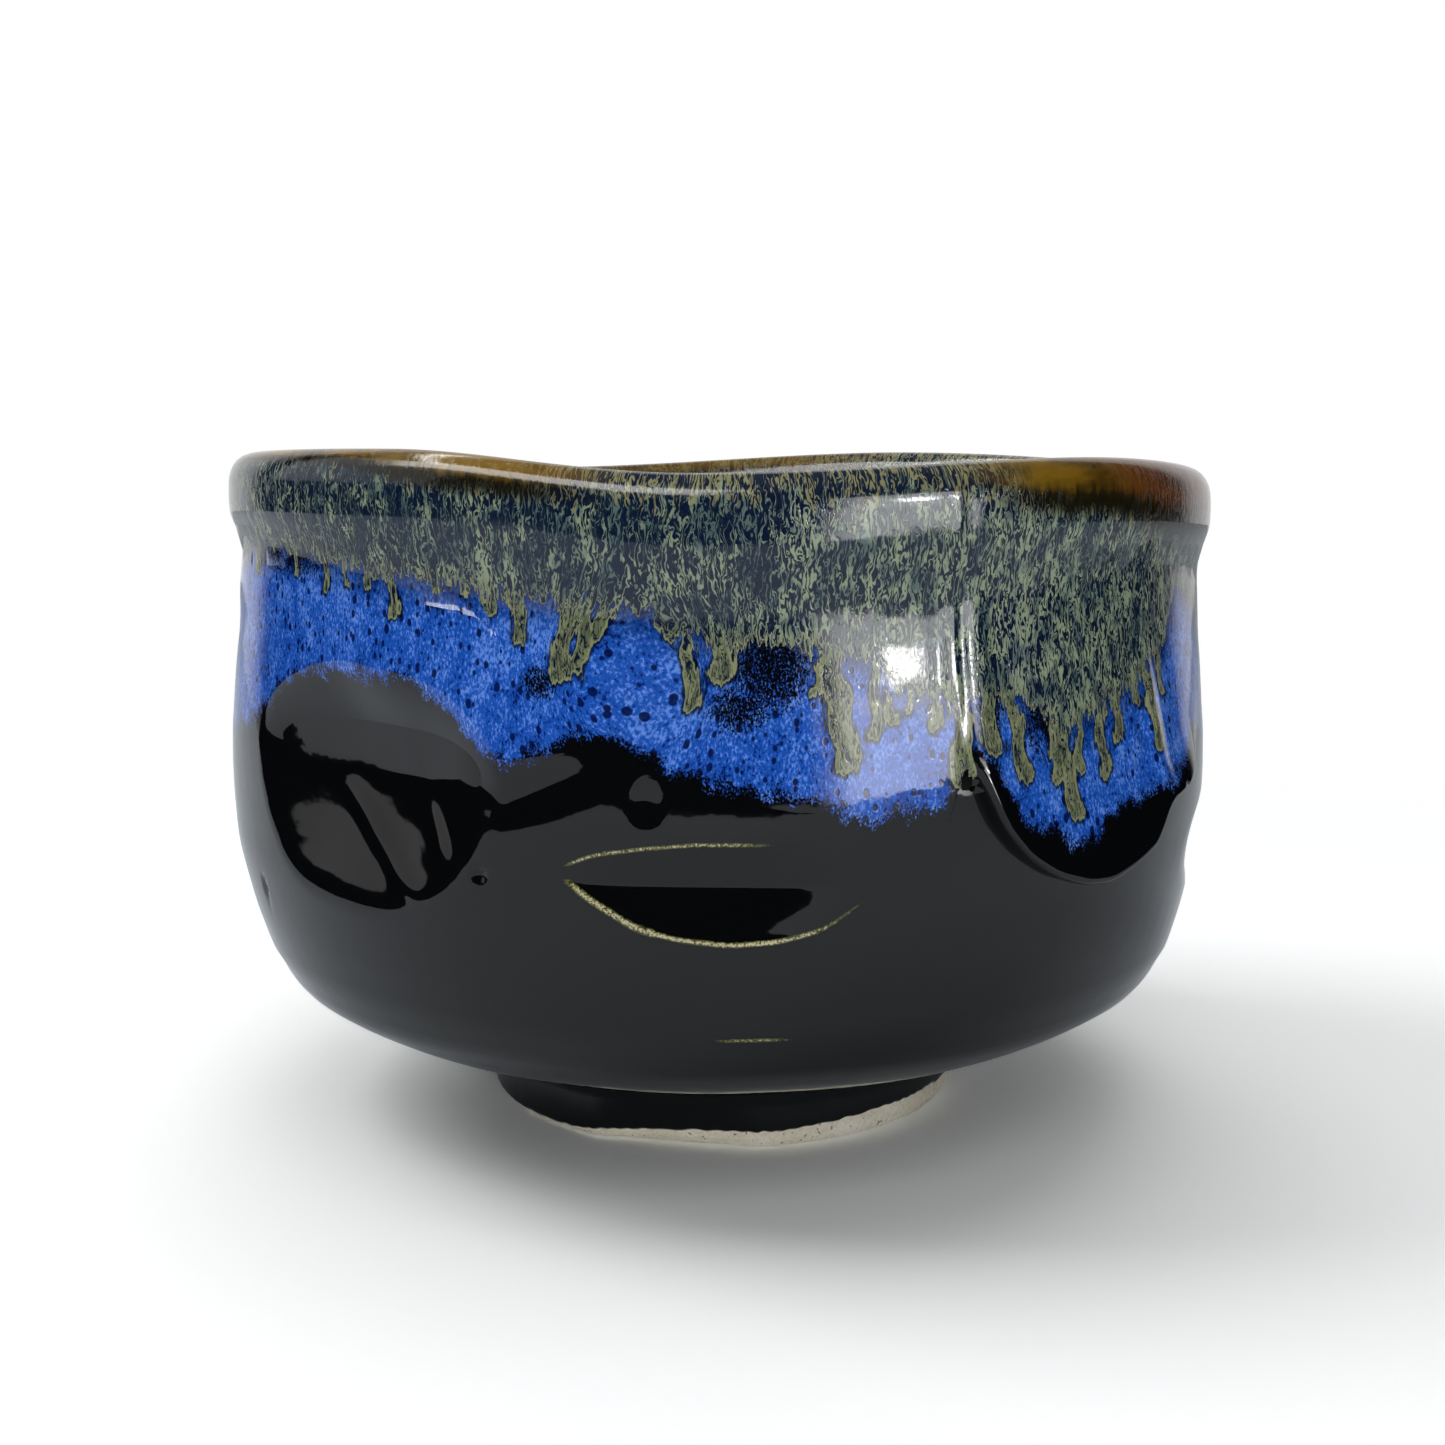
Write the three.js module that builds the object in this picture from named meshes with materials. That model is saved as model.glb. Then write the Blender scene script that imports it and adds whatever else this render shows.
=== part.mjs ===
// Matcha bowl (chawan): a hand-thrown stoneware body on a turned foot ring. Black glaze coats
// the outside, the foot's side and the inside; a blue and an ash glaze hang over the lip on
// top of it. Millimetres, +Z up. The origin is on the table, in the middle of the bowl.
// Angles are in degrees round +Z, anticlockwise from +X; the bowl's front faces -Y (270).

import * as THREE from "three";

// ---------------------------------------------------------------- driving dimensions

const COLUMNS = 56; // steps round the bowl
const FOOT_HEIGHT = 8.6; // table to the underside of the body
const LIP_HEIGHT = 77.8; // top of the bare clay lip, before the rim's wave
const LIP_BASE = 72.4; // the lip's rows start and end at this height

// The bare clay wall as [radius, height], from the foot joint up the outside, over the lip
// and down the inside to the middle of the well.
const WALL = [
  [30.4, FOOT_HEIGHT],
  [40.0, 11.2],
  [47.6, 14.2],
  [53.8, 18.3],
  [56.8, 24.6],
  [59.0, 33.3],
  [59.9, 42.6],
  [58.4, 51.8],
  [57.0, 60.0],
  [56.5, 66.7],
  [57.3, LIP_BASE],
  [57.9, 76.1],
  [56.6, LIP_HEIGHT],
  [55.2, 76.3],
  [53.8, LIP_BASE],
  [53.2, 64.6],
  [53.8, 54.4],
  [54.2, 44.1],
  [52.8, 31.8],
  [47.8, 21.0],
  [38.0, 15.6],
  [24.0, 14.0],
  [15.5, 13.7],
  [13.0, 12.8],
  [0.0, 12.5],
];
const STEPS_OUTSIDE = 14;
const STEPS_OVER_LIP = 4;
const STEPS_INSIDE = 8;
const LIP_SEARCH_STEP = 0.0005; // share of the wall's length
const BISECTIONS = 40; // halvings when a height is looked up along the wall

// Crests and dips of the rim as [angle, rise above LIP_HEIGHT].
const RIM_WAVE = [
  [0, -0.9],
  [60, 0.0],
  [115, -2.2],
  [235, 1.6],
  [267, -0.6],
  [310, 0.7],
];
const WAVE_FOOT = 30; // below this height the wave has died out

// Hollows pressed or carved into the soft wall.
const HOLLOWS = [
  { angle: 229, height: 45, halfAngle: 21, halfHeight: 14.5, depth: 3.6 }, // thumb dent
  { angle: 270, height: 37, halfAngle: 17, halfHeight: 6.6, depth: 2.4 }, // carved crescent
  { angle: 354, height: 34.5, halfAngle: 22, halfHeight: 7, depth: 2.2 }, // finger dents
  { angle: 182, height: 29.5, halfAngle: 18, halfHeight: 7, depth: 1.6 },
  { angle: 88, height: 43.0, halfAngle: 24, halfHeight: 12, depth: 2.4 },
];
const HOLLOW_SHARE_INSIDE = 0.5; // how much of a hollow shows on the inner wall

// Foot ring, from the table up. It sits a little off the bowl's axis.
const FOOT = {
  shift: 0.5,
  edgeRadius: 28.4,
  sideRadius: 29.0,
  waistRadius: 28.7,
  topRadius: 29.2,
  innerRadius: 22.0,
  innerEdgeRadius: 23.2,
  bevel: 0.9,
  waistHeight: 5.2,
};
const FOOT_FLAT = { angle: 258, distance: 27.2 }; // knife-cut flat, from the foot's centre
const JOINT = 0.05; // slip line between the foot ring and the body

// Glaze coats: distance of a coat's inner and outer face from the clay.
const GAP = 0.2;
const EDGE = 0.12; // thickness of a coat where it runs out
const EDGE_LIFT = 0.15; // extra gap there, clear of the facets beneath
const BLACK_COAT = { inner: GAP, outer: 0.65 };
const BLUE_COAT = { inner: BLACK_COAT.outer + GAP, outer: 1.3 };
const ASH_COAT = { inner: BLUE_COAT.outer + GAP, outer: 1.85 };
const RUN_OUT = 0.02; // share of the wall's length over which a coat thins at its edge
const COAT_JOINT = 0.003; // share of the wall's length left open where two coats meet

// Crests and dips of the overglazes' ragged edges, as [angle, height].
const BLUE_EDGE = [
  [18, 50],
  [42, 41],
  [66, 51],
  [92, 44],
  [116, 52],
  [142, 42],
  [168, 53],
  [190, 47],
  [221, 56],
  [249, 48],
  [258, 52.5],
  [283, 44.5],
  [294, 49],
  [309, 36],
  [328, 46],
  [346, 42.5],
];
const ASH_EDGE = [
  [20, 56],
  [48, 63],
  [80, 52],
  [112, 63],
  [140, 53],
  [175, 66],
  [212, 70],
  [240, 67],
  [259, 59.5],
  [273, 63],
  [284, 51.5],
  [308, 45],
  [340, 63],
];
const BLUE_EDGE_INSIDE = [
  [30, 46],
  [100, 39],
  [160, 48],
  [225, 40],
  [300, 47],
];
const ASH_EDGE_INSIDE = [
  [10, 60],
  [75, 55],
  [135, 63],
  [205, 57],
  [280, 62],
];
// The foot's black coat, and the ragged line below which the foot's clay is bare.
const FOOT_COAT = { inner: 0.1, outer: 0.5, top: 7.7 };
const FOOT_GLAZE_EDGE = [
  [20, 1.8],
  [110, 1.2],
  [210, 0.5],
  [262, 1.4],
  [315, 1.9],
];

// ---------------------------------------------------------------- shared shape

const radians = THREE.MathUtils.degToRad;
const smoothstep = THREE.MathUtils.smoothstep;

function turnFrom(angle, start) {
  return THREE.MathUtils.euclideanModulo(angle - start, 360);
}

// Height of a closed wavy line at an angle; the line is level at each listed crest and dip.
function waveAt(line, angle) {
  const last = line.length - 1;
  let before = last;
  for (let i = 0; i <= last; i += 1) {
    if (turnFrom(angle, line[i][0]) < turnFrom(angle, line[before][0])) {
      before = i;
    }
  }
  const after = (before + 1) % line.length;
  const span = turnFrom(line[after][0], line[before][0]);
  const share = smoothstep(turnFrom(angle, line[before][0]), 0, span);
  return THREE.MathUtils.lerp(line[before][1], line[after][1], share);
}

function hollowAt(angle, height) {
  let depth = 0;
  for (const hollow of HOLLOWS) {
    const across = (turnFrom(angle + 180, hollow.angle) - 180) / hollow.halfAngle;
    const up = (height - hollow.height) / hollow.halfHeight;
    const reach = Math.max(0, 1 - across ** 2 - up ** 2);
    depth += hollow.depth * reach ** 2;
  }
  return depth;
}

const asPoint = ([radius, height]) => new THREE.Vector2(radius, height);
const wall = new THREE.SplineCurve(WALL.map(asPoint));
wall.arcLengthDivisions = 1000;
const LIP_AT = placeOfLip();

function placeOfLip() {
  let best = 0;
  for (let at = 0; at <= 1; at += LIP_SEARCH_STEP) {
    if (wall.getPointAt(at).y > wall.getPointAt(best).y) {
      best = at;
    }
  }
  return best;
}

// Where along the wall a height is met, on the outside or on the inside.
function placeAt(height, outside) {
  let low = outside ? 0 : 1;
  let high = LIP_AT;
  for (let pass = 0; pass < BISECTIONS; pass += 1) {
    const middle = (low + high) / 2;
    if (wall.getPointAt(middle).y < height) {
      low = middle;
    } else {
      high = middle;
    }
  }
  return high;
}

// A point at a distance out from the clay, at a place along the wall and an angle.
function wallPoint(at, offset, angle) {
  const spot = wall.getPointAt(at);
  const along = wall.getTangentAt(at);
  const share = at < LIP_AT ? 1 : HOLLOW_SHARE_INSIDE;
  const radius = Math.max(0, spot.x + along.y * offset - share * hollowAt(angle, spot.y));
  const rise = waveAt(RIM_WAVE, angle) * smoothstep(spot.y, WAVE_FOOT, LIP_HEIGHT);
  return { radius, height: spot.y - along.x * offset + rise };
}

// ---------------------------------------------------------------- turned solids

// A lathe-turned solid whose section, a list of { radius, height }, may change with the angle.
// From the row named returnsFrom the section runs back under its own outer face, and its
// quads are split along the other diagonal, so that nested faces share their facets.
function turned(name, material, sectionAt, returnsFrom = Infinity) {
  const points = sectionAt(0).map(({ radius, height }) => new THREE.Vector2(radius, height));
  const geometry = new THREE.LatheGeometry(points, COLUMNS);
  const { position } = geometry.attributes;
  for (let column = 0; column <= COLUMNS; column += 1) {
    const angle = ((column % COLUMNS) * 360) / COLUMNS;
    sectionAt(angle).forEach(({ radius, height }, row) => {
      const x = radius * Math.cos(radians(angle));
      const y = radius * Math.sin(radians(angle));
      position.setXYZ(column * points.length + row, x, y, height);
    });
  }
  splitOtherWay(geometry, points.length - 1, returnsFrom);
  geometry.computeVertexNormals();
  const mesh = new THREE.Mesh(geometry, material);
  mesh.name = name;
  return mesh;
}

// Swap the diagonal of every quad that lies in row fromRow or above it.
function splitOtherWay(geometry, rows, fromRow) {
  const corners = geometry.index.array;
  for (let start = 0; start < corners.length; start += 6) {
    const row = (start / 6) % rows;
    if (row >= fromRow) {
      const [a, b, d, c] = corners.slice(start, start + 4);
      corners.set([a, b, c, a, c, d], start);
    }
  }
}

function evenPlaces(from, to, steps) {
  return Array.from({ length: steps + 1 }, (_, i) => from + ((to - from) * i) / steps);
}

// Every piece takes its rows from these places along the wall, so that the coats nest.
const OUTSIDE_ROWS = evenPlaces(0, placeAt(LIP_BASE, true), STEPS_OUTSIDE);
const LIP_ROWS = evenPlaces(placeAt(LIP_BASE, true), placeAt(LIP_BASE, false), STEPS_OVER_LIP);
const INSIDE_ROWS = evenPlaces(placeAt(LIP_BASE, false), 1, STEPS_INSIDE);
const WALL_ROWS = [...OUTSIDE_ROWS, ...LIP_ROWS.slice(1), ...INSIDE_ROWS.slice(1)];

// A point on the straight facet between two rows, so that a coat's edge nests wherever it ends.
function facetPoint(at, offset, angle) {
  const next = Math.max(1, WALL_ROWS.findIndex((row) => row >= at));
  const share = THREE.MathUtils.inverseLerp(WALL_ROWS[next - 1], WALL_ROWS[next], at);
  const start = wallPoint(WALL_ROWS[next - 1], offset, angle);
  const end = wallPoint(WALL_ROWS[next], offset, angle);
  return {
    radius: THREE.MathUtils.lerp(start.radius, end.radius, share),
    height: THREE.MathUtils.lerp(start.height, end.height, share),
  };
}

// The section of a glaze coat between two places along the wall, thin where it runs out.
// Rows past either end fold onto it.
function coatSection(layer, from, to, angle) {
  const { clamp, lerp } = THREE.MathUtils;
  const rows = WALL_ROWS.map((row) => clamp(row, from, to));
  const innerFace = [];
  const outerFace = [];
  for (const at of rows) {
    const body = smoothstep(Math.min(at - from, to - at), 0, RUN_OUT);
    const inner = layer.inner + EDGE_LIFT * (1 - body);
    innerFace.unshift(facetPoint(at, inner, angle));
    outerFace.push(facetPoint(at, lerp(inner + EDGE, layer.outer, body), angle));
  }
  return [...outerFace, ...innerFace, outerFace[0]];
}

function coat(name, material, sectionAt) {
  const rowsOfFace = (sectionAt(0).length - 1) / 2;
  return turned(name, material, sectionAt, rowsOfFace);
}

// ---------------------------------------------------------------- materials

function ceramic(colour, roughness) {
  return new THREE.MeshStandardMaterial({ color: colour, roughness, metalness: 0 });
}

const stoneware = () => ceramic(0xe4dac2, 0.85);
const blackGlaze = () => ceramic(0x0b0d0e, 0.08);
const cobaltGlaze = () => ceramic(0x3a62cc, 0.12);
const ashGlaze = () => ceramic(0x7f7c52, 0.15);
const linerGlaze = () => ceramic(0x14171b, 0.1);

// ---------------------------------------------------------------- pieces

function clayBody() {
  return turned("clay_body", stoneware(), (angle) => [
    { radius: 0, height: FOOT_HEIGHT },
    ...WALL_ROWS.map((at) => wallPoint(at, 0, angle)),
  ]);
}

// How far the foot's knife-cut flat lies inside its circle.
function flatAt(angle) {
  const across = turnFrom(angle + 180, FOOT_FLAT.angle) - 180;
  const facing = Math.cos(radians(across));
  return facing > 0 ? Math.max(0, FOOT.sideRadius - FOOT_FLAT.distance / facing) : 0;
}

// Radius of the foot's side at a height and an angle: bevel, then a slightly waisted side.
function footRadius(height, angle) {
  const line = [
    [0, FOOT.edgeRadius],
    [FOOT.bevel, FOOT.sideRadius],
    [FOOT.waistHeight, FOOT.waistRadius],
    [FOOT_HEIGHT, FOOT.topRadius],
  ];
  const above = Math.max(1, line.findIndex(([level]) => level >= height));
  const [low, high] = [line[above - 1], line[above]];
  const radius = THREE.MathUtils.mapLinear(height, low[0], high[0], low[1], high[1]);
  return radius - flatAt(angle) * (1 - height / FOOT_HEIGHT);
}

function footRing() {
  const top = FOOT_HEIGHT - JOINT;
  const ring = turned("foot_ring", stoneware(), (angle) => [
    { radius: FOOT.innerEdgeRadius, height: 0 },
    ...[0, FOOT.bevel, FOOT.waistHeight, top].map((height) => ({
      radius: footRadius(height, angle),
      height,
    })),
    { radius: FOOT.innerRadius, height: top },
    { radius: FOOT.innerRadius, height: FOOT.bevel },
    { radius: FOOT.innerEdgeRadius, height: 0 },
  ]);
  ring.position.x = FOOT.shift;
  return ring;
}

// Black base coat: down the outside from under the lip to the foot joint.
function bodyCoat() {
  const to = INSIDE_ROWS[0] - COAT_JOINT;
  return coat("body_glaze", blackGlaze(), (angle) =>
    coatSection(BLACK_COAT, COAT_JOINT, to, angle),
  );
}

// Liner: the inside, from under the lip to the middle of the well.
function linerCoat() {
  const face = (offset, angle) => INSIDE_ROWS.map((at) => wallPoint(at, offset, angle));
  return coat("liner_glaze", linerGlaze(), (angle) => [
    ...face(BLACK_COAT.outer, angle),
    ...face(BLACK_COAT.inner, angle).reverse(),
    wallPoint(INSIDE_ROWS[0], BLACK_COAT.outer, angle),
  ]);
}

// An overglaze hangs over the lip, with one ragged edge outside and another inside.
function overglaze(name, material, layer, edgeOutside, edgeInside) {
  return coat(name, material, (angle) => {
    const from = placeAt(waveAt(edgeOutside, angle), true);
    const to = placeAt(waveAt(edgeInside, angle), false);
    return coatSection(layer, from, to, angle);
  });
}

// The black coat on the foot's side stops short of the table.
function footCoat() {
  const face = (offset, angle) => {
    const edge = waveAt(FOOT_GLAZE_EDGE, angle);
    const heights = [edge, Math.max(edge, FOOT.bevel), FOOT.waistHeight, FOOT_COAT.top];
    return heights.map((height) => ({ radius: footRadius(height, angle) + offset, height }));
  };
  const glaze = coat("foot_glaze", blackGlaze(), (angle) => [
    ...face(FOOT_COAT.outer, angle),
    ...face(FOOT_COAT.inner, angle).reverse(),
    face(FOOT_COAT.outer, angle)[0],
  ]);
  glaze.position.x = FOOT.shift;
  return glaze;
}

const bowl = new THREE.Group();
bowl.add(
  clayBody(),
  footRing(),
  bodyCoat(),
  linerCoat(),
  footCoat(),
  overglaze("blue_overglaze", cobaltGlaze(), BLUE_COAT, BLUE_EDGE, BLUE_EDGE_INSIDE),
  overglaze("ash_overglaze", ashGlaze(), ASH_COAT, ASH_EDGE, ASH_EDGE_INSIDE),
);

// Centre the footprint's box on the origin.
const box = new THREE.Box3().setFromObject(bowl);
bowl.position.x = -(box.min.x + box.max.x) / 2;
bowl.position.y = -(box.min.y + box.max.y) / 2;

export default bowl;
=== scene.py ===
"""Matcha bowl (chawan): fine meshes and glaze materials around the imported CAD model.

The bowl is described in millimetres round its own axis, with angles in degrees
anticlockwise from +X; its front faces -Y (270). Meshes are turned into metres, in the CAD
frame, when they are made.
"""

import math

import bpy
import numpy as np
from mathutils import Euler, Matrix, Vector


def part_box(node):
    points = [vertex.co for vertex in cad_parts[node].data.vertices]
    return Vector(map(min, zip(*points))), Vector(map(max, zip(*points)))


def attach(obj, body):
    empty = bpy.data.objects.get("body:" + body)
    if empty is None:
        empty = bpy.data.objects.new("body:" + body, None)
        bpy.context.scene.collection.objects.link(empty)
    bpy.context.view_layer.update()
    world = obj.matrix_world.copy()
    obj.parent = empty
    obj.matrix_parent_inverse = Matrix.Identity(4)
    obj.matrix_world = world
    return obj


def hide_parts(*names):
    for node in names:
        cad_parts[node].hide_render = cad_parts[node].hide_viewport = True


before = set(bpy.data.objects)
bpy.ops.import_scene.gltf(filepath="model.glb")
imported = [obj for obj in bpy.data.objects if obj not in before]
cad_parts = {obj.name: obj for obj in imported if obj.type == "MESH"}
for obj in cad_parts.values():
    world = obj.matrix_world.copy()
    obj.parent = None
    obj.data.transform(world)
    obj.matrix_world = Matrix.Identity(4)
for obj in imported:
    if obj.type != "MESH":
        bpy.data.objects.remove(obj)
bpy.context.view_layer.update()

# ---------------------------------------------------------------- driving dimensions

MM = 0.001
COLUMNS = 800  # steps round the bowl in the pieces that show
FOOT_SHIFT = 0.5  # the foot ring sits this far off the bowl's axis
FOOT_HEIGHT = 8.6
FLOW_RADIUS = 59.0  # the wall's mean radius, for measuring along the glaze
HEM = -0.02  # a coat's lower edge starts this far under the face it lies on
THICK_BACK = -0.45  # inner face of the black coats, from their outer face
THIN_BACK = -0.06  # inner face of the blue and ash coats, from the face they lie on
CLAY_FACE = -0.6  # the clay's own face, from the black glaze's
BLUE_TURN = 40  # the blue's edge inside is its outside edge turned by this much
ASH_TURN = 200  # and so with the ash, which also reaches ASH_DEEPER further down
ASH_DEEPER = 3

foot_low, foot_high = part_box("foot_ring")
AXIS = np.array(
    [
        (foot_low.x + foot_high.x) / 2 / MM - FOOT_SHIFT,
        (foot_low.y + foot_high.y) / 2 / MM,
        0.0,
    ]
)

# Face of the finished black glaze as [radius, height], from the foot joint up the outside,
# over the lip and down the inside to the middle of the well.
SKIN = [
    [30.6, 8.0],
    [40.2, 10.5],
    [48.0, 13.6],
    [54.3, 17.9],
    [57.4, 24.4],
    [59.5, 33.2],
    [60.05, 38.6],
    [60.2, 42.6],
    [60.2, 45.0],
    [60.12, 47.2],
    [59.94, 49.2],
    [59.66, 51.8],
    [59.36, 54.5],
    [58.98, 57.5],
    [58.56, 60.5],
    [58.28, 63.0],
    [58.2, 65.4],
    [58.48, 68.0],
    [59.0, 70.3],
    [59.42, 72.2],
    [59.54, 73.6],
    [59.56, 75.2],
    [59.44, 76.9],
    [59.0, 78.1],
    [58.2, 78.95],
    [57.0, 79.3],
    [55.7, 78.7],
    [54.6, 76.6],
    [53.6, 72.4],
    [52.7, 64.6],
    [53.2, 54.4],
    [53.6, 44.3],
    [52.2, 32.2],
    [47.3, 21.6],
    [37.8, 16.2],
    [24.0, 14.6],
    [15.5, 14.3],
    [13.0, 13.4],
    [0.0, 13.1],
]
SAMPLES_PER_SPAN = 80

# Crests and dips of the rim as [angle, rise].
RIM_WAVE = [
    [0, -1.5],
    [60, 0.0],
    [115, -2.2],
    [235, 1.6],
    [267, -0.6],
    [310, 0.7],
]
WAVE_FOOT = 30.0

# How far the narrow neck under the lip is shifted up, round the bowl.
NECK_WAVE = [
    [30, 0.5],
    [110, 2.0],
    [165, 1.2],
    [205, 4.6],
    [248, -0.2],
    [287, -0.5],
    [303, 1.3],
    [331, 2.8],
]
NECK_LOW, NECK_HIGH = 58.0, 74.5

# Lowest reach of the blue glaze, as [angle, height] of its crests and dips.
BLUE_EDGE = [
    [4, 44],
    [18, 50],
    [30, 45],
    [42, 41],
    [55, 46],
    [66, 51],
    [79, 46],
    [92, 43],
    [104, 48],
    [116, 52],
    [129, 46],
    [142, 41],
    [155, 47],
    [168, 53],
    [180, 50],
    [190, 46],
    [205, 48.5],
    [222, 55.8],
    [237, 56.0],
    [249, 49.2],
    [258, 52.7],
    [271, 47.8],
    [278, 46.6],
    [284, 44.2],
    [292, 45.2],
    [294.6, 50.5],
    [301, 42.6],
    [308, 39.8],
    [314, 42.6],
    [325, 44.6],
    [334, 49.3],
    [347, 46],
]

# The thick roll of glaze on the right: its lower edge, as [angle, height].
ROLL_EDGE = [
    [292.5, 52.0],
    [295.0, 48.5],
    [297.0, 43.4],
    [300.0, 39.9],
    [303.5, 37.6],
    [308.0, 36.0],
    [312.0, 35.7],
    [316.0, 36.8],
    [320.0, 38.4],
    [322.5, 42.4],
    [327.0, 43.6],
    [332.0, 45.8],
    [338.0, 48.0],
]
ROLL_THICKNESS = 2.3

# Lower edge of the close ash band, before its drips.
ASH_BAND = [
    [12, 64],
    [48, 66.5],
    [80, 61],
    [112, 66],
    [140, 60],
    [175, 67],
    [196, 69.5],
    [212, 70],
    [238, 67.2],
    [253, 66.6],
    [262, 66.2],
    [269, 63.6],
    [280, 62.4],
    [291, 57.0],
    [299, 56.5],
    [307, 52.5],
    [315, 55],
    [325, 59],
    [331, 66],
    [337, 64],
    [345, 58],
    [353, 62],
]

# Drips of ash glaze in front: [angle, height of the tip, width, angle of its root].
DRIPS = [
    [213.5, 67.4, 1.1, 213.5],
    [219.0, 66.2, 1.0, 219.0],
    [225.2, 64.7, 1.2, 225.0],
    [228.6, 65.4, 1.0, 228.6],
    [231.7, 65.1, 1.1, 231.7],
    [235.4, 62.6, 1.5, 235.2],
    [240.9, 64.2, 1.8, 241.0],
    [244.1, 64.7, 1.3, 244.1],
    [246.8, 63.8, 2.2, 247.0],
    [250.2, 61.5, 1.7, 250.4],
    [254.4, 58.2, 2.5, 256.0],
    [256.6, 59.4, 2.2, 257.6],
    [258.4, 57.8, 2.3, 259.0],
    [265.6, 58.4, 1.9, 265.4],
    [267.3, 56.2, 2.4, 266.6],
    [270.3, 58.9, 2.8, 270.0],
    [271.6, 62.0, 2.2, 271.6],
    [274.0, 62.6, 1.3, 274.0],
    [276.5, 63.5, 1.5, 276.5],
    [279.2, 57.4, 1.2, 280.6],
    [282.3, 49.6, 2.9, 279.6],
    [281.8, 53.2, 2.2, 281.0],
    [285.0, 52.9, 1.3, 285.0],
    [286.6, 54.2, 1.3, 287.0],
    [288.4, 55.0, 1.2, 288.4],
    [291.0, 53.3, 1.6, 291.0],
    [293.4, 47.5, 2.5, 294.2],
    [296.8, 50.3, 2.6, 296.4],
    [300.4, 47.3, 2.4, 299.8],
    [305.2, 46.8, 1.8, 305.0],
    [306.9, 42.8, 2.5, 305.8],
    [308.4, 47.5, 1.7, 308.4],
    [312.3, 46.3, 2.0, 311.6],
    [314.8, 49.9, 2.0, 315.2],
    [318.6, 53.4, 1.6, 318.6],
    [321.8, 48.3, 2.3, 320.4],
    [324.4, 54.0, 1.4, 324.0],
]

# How thickly the sage covers its band, from 0 to 1.
ASH_RICHNESS = [[20, 0.5], [75, 0.9], [120, 0.3], [165, 0.8], [225, 0.0], [262, 0.3], [305, 0.75]]

# Width of the brown band along the lip, as [angle, width].
LIP_BAND = [[20, 4.0], [120, 3.0], [209, 1.7], [226, 2.0], [243, 3.6], [290, 3.4], [308, 5.2], [332, 7.6]]

# The blue dome that the ash streaks part round.
DOME = {"angle": 261.9, "height": 59.4, "radius": 6.2}

# Cream lines where the glaze breaks thin over the carved crescent's edges.
CRESCENT_TOP = [
    [255, 40.2],
    [258, 41.6],
    [263, 42.5],
    [268, 43.0],
    [275, 42.9],
    [281, 42.0],
    [286, 40.0],
]
CRESCENT_FOOT = [
    [255, 39.2],
    [257, 37.4],
    [260, 35.5],
    [262, 34.2],
    [266, 33.1],
    [271, 32.5],
    [276, 32.9],
    [280, 34.0],
    [282, 35.4],
    [286, 38.4],
]
CREASE_HEIGHT = 38.5

# A short cream line where the glaze breaks thin low on the belly: (angle, height).
LOW_BREAK = (273.5, 21.9)

# Small and large hollows: depth, middle (angle, height), half sizes (angle, height), power.
SMALL_HOLLOWS = [
    [0.5, (263.2, 47.1), (1.6, 2.5), 1.1],
    [0.5, (246.3, 38.6), (0.9, 0.9), 1.2],
    [0.4, (326.3, 43.6), (0.5, 1.2), 1],
    [0.3, (209.3, 31.4), (0.9, 1.8), 1],
]
LARGE_HOLLOWS = [
    [2.2, (354.0, 34.5), (22, 7), 2],
    [1.6, (182.0, 29.5), (18, 7), 2],
    [2.4, (88.0, 43.0), (24, 12), 2],
]

# Where the black shows through the blue: middle, half sizes and power, as above.
DARK_PATCHES = [
    [(274.8, 60.5), (5.0, 5.4), 0.5],
    [(272.0, 56.5), (4.0, 3.0), 0.7],
    [(297.4, 56.5), (1.1, 5.5), 0.4],
    [(303.4, 53.0), (2.6, 4.5), 0.6],
    [(216, 69), (14.0, 3.2), 0.6],
    [(252.5, 58.2), (2.5, 2.2), 0.8],
]

# Rings left by the wheel: height, rise, half width.
WHEEL_RINGS = [[22.2, 0.15, 1.0], [20.3, -0.12, 1.1], [17.2, 0.17, 0.9]]

FOOT = {
    "edge": 28.4,
    "side": 29.0,
    "waist": 28.7,
    "top": 29.2,
    "inner": 22.0,
    "inner_edge": 23.2,
    "bevel": 0.9,
    "waist_height": 5.2,
}
FOOT_FLAT = {"angle": 258, "distance": 27.2}
FOOT_GLAZE_EDGE = [[20, 2.2], [110, 1.3], [208, 0.4], [228, 0.6], [250, 1.4], [270, 1.9], [315, 2.7]]

# ---------------------------------------------------------------- lines and waves


def smoothstep(value, low, high):
    share = np.clip((value - low) / (high - low), 0, 1)
    return share * share * (3 - 2 * share)


def turn_from(angle, start):
    """Signed turn from start to angle, between -180 and 180."""
    return (angle - start + 180) % 360 - 180


def wave_at(line, angle):
    """Height of a closed wavy line, level at each listed crest and dip."""
    places = np.array([point[0] for point in line], float)
    levels = np.array([point[1] for point in line], float)
    order = np.argsort(places)
    places = np.append(places[order], places[order][0] + 360)
    levels = np.append(levels[order], levels[order][0])
    turned = places[0] + (angle - places[0]) % 360
    after = np.clip(np.searchsorted(places, turned, side="right"), 1, len(places) - 1)
    share = (turned - places[after - 1]) / (places[after] - places[after - 1])
    share = share * share * (3 - 2 * share)
    return levels[after - 1] + (levels[after] - levels[after - 1]) * share


def line_at(line, angle):
    """Height of an open line of [angle, height] points; its ends run on level."""
    places = np.array([point[0] for point in line], float)
    levels = np.array([point[1] for point in line], float)
    rounded = [np.interp(angle % 360 + turn, places, levels) for turn in (-1, -0.5, 0, 0.5, 1)]
    return sum(rounded) / len(rounded)


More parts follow.
